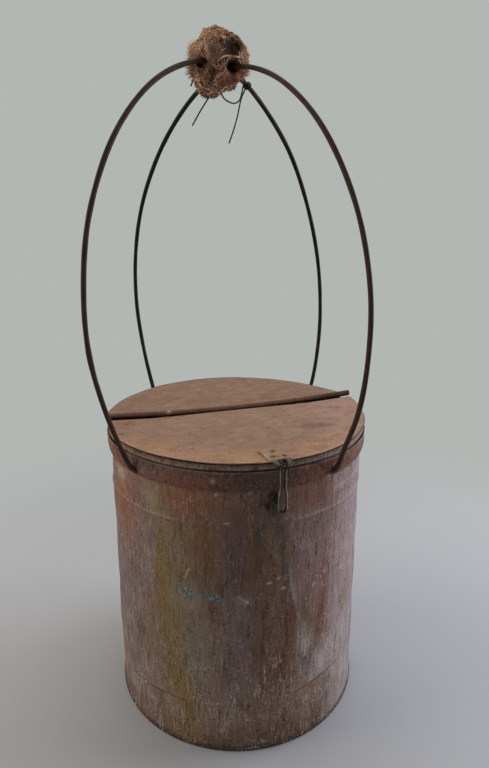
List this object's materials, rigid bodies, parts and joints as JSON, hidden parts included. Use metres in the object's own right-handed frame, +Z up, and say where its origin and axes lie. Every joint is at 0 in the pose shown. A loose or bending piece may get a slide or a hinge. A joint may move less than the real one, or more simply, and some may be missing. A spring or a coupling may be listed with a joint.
{
  "type": "rusty metal bucket",
  "caption": "Rusty sheet-iron can with a half-hinged flat lid, a wire hasp and crossing rod hoops bound at the top in a wad of coir to carry it by.",
  "frame": {"origin": "on the can's axis at the level of the floor it stands on", "axes": "+Z up along the can's axis, the hasp faces -Y, the lid's hinge runs along X"},
  "size_m": [0.3253, 0.3514, 0.7545],
  "materials": {
    "rusted_sheet": "matte",
    "rusted_band": "matte",
    "dusty_sheet": "matte",
    "black_rod": "matte",
    "rusty_wire": "matte",
    "coir": "matte"
  },
  "bodies": {
    "can": {"body_wall": "rusted_sheet", "bottom_plate": "rusted_sheet", "rim_band": "rusted_band", "rear_lid": "dusty_sheet", "rear_skirt": "rusted_band", "hinge_pin": "black_rod", "hoop_a": "black_rod", "hoop_b": "black_rod", "coir_grip": "coir", "crossing_tie": "rusty_wire", "tie_wire_long": "rusty_wire", "tie_wire_short": "rusty_wire", "tie_wire_stub": "rusty_wire"},
    "flap": {"lid_flap": "dusty_sheet", "flap_skirt": "rusted_band", "hasp_plate": "rusted_band", "hasp_rivet_1": "rusted_band", "hasp_rivet_2": "rusted_band", "hasp_rivet_3": "rusted_band"},
    "hasp": {"hasp_loop": "black_rod"}
  },
  "joints": [
    {"name": "lid_hinge", "type": "hinge", "parent": "can", "child": "flap", "pos_m": [0, 0.012, 0.35045], "axis": [-1, 0, 0], "range_deg": [0, 155]},
    {"name": "hasp_swing", "type": "hinge", "parent": "flap", "child": "hasp", "pos_m": [0, -0.15505, 0.34692], "axis": [-1, 0, 0], "range_deg": [-7, 150]}
  ]
}
